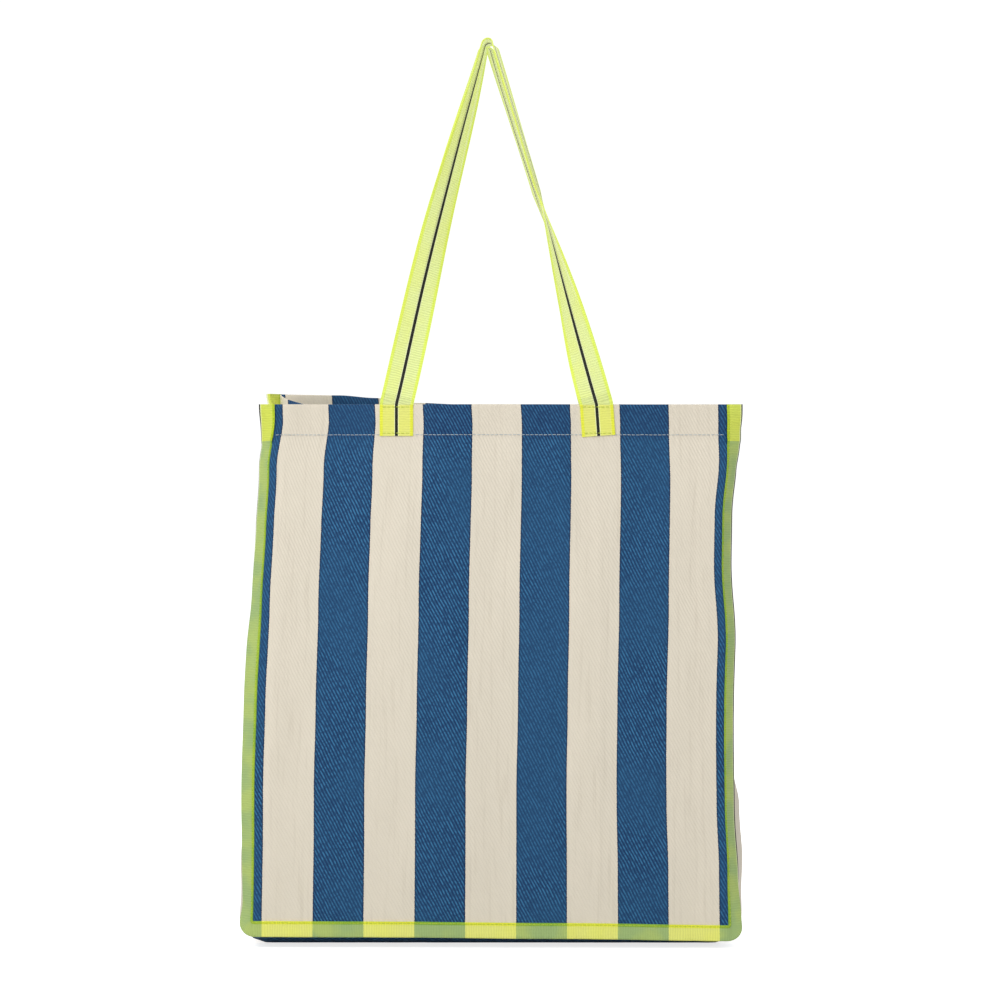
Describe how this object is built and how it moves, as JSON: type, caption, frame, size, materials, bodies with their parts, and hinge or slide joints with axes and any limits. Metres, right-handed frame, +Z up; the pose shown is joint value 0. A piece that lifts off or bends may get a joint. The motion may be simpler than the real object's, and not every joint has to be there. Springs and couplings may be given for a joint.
{
  "type": "shopping tote bag",
  "caption": "Tall striped woven shopping tote with a folding gusset, webbing-bound seams and two long sewn webbing handles that swing.",
  "frame": {"origin": "middle of the footprint, on the surface that the bag stands on", "axes": "+X to the right seen from the front, +Y from the front to the back, +Z up; the front faces -Y"},
  "size_m": [0.45, 0.1302, 0.8125],
  "materials": {
    "striped_cloth": "twill weave in broad blue and cream stripes, matt with a soft sheen",
    "neon_webbing": "translucent ribbed neon webbing with denser edges and a black line along its middle",
    "sewing_thread": "twisted off-white sewing thread"
  },
  "bodies": {
    "front_bag": {"front_panel": "striped_cloth", "front_gusset_allowance": "striped_cloth", "front_binding_tape": "neon_webbing", "front_binding_stitch": "sewing_thread", "front_hem_stitch": "sewing_thread", "front_left_handle_end": "neon_webbing", "front_left_lower_stitch": "sewing_thread", "front_left_upper_stitch": "sewing_thread", "front_right_handle_end": "neon_webbing", "front_right_lower_stitch": "sewing_thread", "front_right_upper_stitch": "sewing_thread"},
    "back_bag": {"back_panel": "striped_cloth", "back_gusset_allowance": "striped_cloth", "back_binding_tape": "neon_webbing", "back_binding_stitch": "sewing_thread", "back_hem_stitch": "sewing_thread", "back_left_handle_end": "neon_webbing", "back_left_lower_stitch": "sewing_thread", "back_left_upper_stitch": "sewing_thread", "back_right_handle_end": "neon_webbing", "back_right_lower_stitch": "sewing_thread", "back_right_upper_stitch": "sewing_thread"},
    "left_front_gusset": {"left_front_gusset_leaf": "striped_cloth", "left_front_gusset_hem_stitch": "sewing_thread"},
    "left_rear_gusset": {"left_rear_gusset_leaf": "striped_cloth", "left_rear_gusset_hem_stitch": "sewing_thread"},
    "right_front_gusset": {"right_front_gusset_leaf": "striped_cloth", "right_front_gusset_hem_stitch": "sewing_thread"},
    "right_rear_gusset": {"right_rear_gusset_leaf": "striped_cloth", "right_rear_gusset_hem_stitch": "sewing_thread"},
    "base_front": {"base_front_leaf": "striped_cloth"},
    "base_rear": {"base_rear_leaf": "striped_cloth"},
    "front_handle_root": {"front_left_handle_root": "neon_webbing", "front_right_handle_root": "neon_webbing"},
    "front_handle": {"front_handle_loop": "neon_webbing"},
    "back_handle_root": {"back_left_handle_root": "neon_webbing", "back_right_handle_root": "neon_webbing"},
    "back_handle": {"back_handle_loop": "neon_webbing"}
  },
  "joints": [
    {"name": "fold", "type": "hinge", "parent": "front_bag", "child": "left_front_gusset", "pos_m": [-0.2095, -0.06, 0.24], "axis": [0, 0, -1], "range_deg": [0, 75]},
    {"name": "left_crease", "type": "hinge", "parent": "left_front_gusset", "child": "left_rear_gusset", "pos_m": [-0.2101, 0, 0.24], "axis": [0, 0, 1], "range_deg": [0, 160]},
    {"name": "left_back_seam", "type": "hinge", "parent": "left_rear_gusset", "child": "back_bag", "pos_m": [-0.2095, 0.06, 0.24], "axis": [0, 0, -1], "range_deg": [0, 80]},
    {"name": "right_front_seam", "type": "hinge", "parent": "front_bag", "child": "right_front_gusset", "pos_m": [0.2095, -0.06, 0.24], "axis": [0, 0, 1], "range_deg": [0, 80]},
    {"name": "right_back_seam", "type": "hinge", "parent": "back_bag", "child": "right_rear_gusset", "pos_m": [0.2095, 0.06, 0.24], "axis": [0, 0, -1], "range_deg": [0, 80]},
    {"name": "base_front_seam", "type": "hinge", "parent": "front_bag", "child": "base_front", "pos_m": [0, -0.06, 0.0155], "axis": [-1, 0, 0], "range_deg": [0, 72]},
    {"name": "base_back_seam", "type": "hinge", "parent": "back_bag", "child": "base_rear", "pos_m": [0, 0.06, 0.0155], "axis": [1, 0, 0], "range_deg": [0, 72]},
    {"name": "front_handle_lean", "type": "hinge", "parent": "front_bag", "child": "front_handle_root", "pos_m": [0, -0.06405, 0.48], "axis": [1, 0, 0], "range_deg": [0, 8.3]},
    {"name": "front_handle_swing", "type": "hinge", "parent": "front_handle_root", "child": "front_handle", "pos_m": [0, -0.06347, 0.48815], "axis": [1, 0, 0], "range_deg": [0, 170]},
    {"name": "back_handle_lean", "type": "hinge", "parent": "back_bag", "child": "back_handle_root", "pos_m": [0, 0.06405, 0.48], "axis": [-1, 0, 0], "range_deg": [0, 8.3]},
    {"name": "back_handle_swing", "type": "hinge", "parent": "back_handle_root", "child": "back_handle", "pos_m": [0, 0.06347, 0.48815], "axis": [-1, 0, 0], "range_deg": [0, 170]}
  ],
  "couplings": [
    {"joint": "left_crease", "follows": "fold", "ratio": 2},
    {"joint": "left_back_seam", "follows": "fold", "ratio": 1},
    {"joint": "right_front_seam", "follows": "fold", "ratio": 1},
    {"joint": "right_back_seam", "follows": "fold", "ratio": 1},
    {"joint": "base_front_seam", "follows": "fold", "ratio": 0.9},
    {"joint": "base_back_seam", "follows": "fold", "ratio": 0.9},
    {"joint": "front_handle_lean", "follows": "fold", "ratio": 0.1105},
    {"joint": "back_handle_lean", "follows": "fold", "ratio": 0.1105}
  ]
}
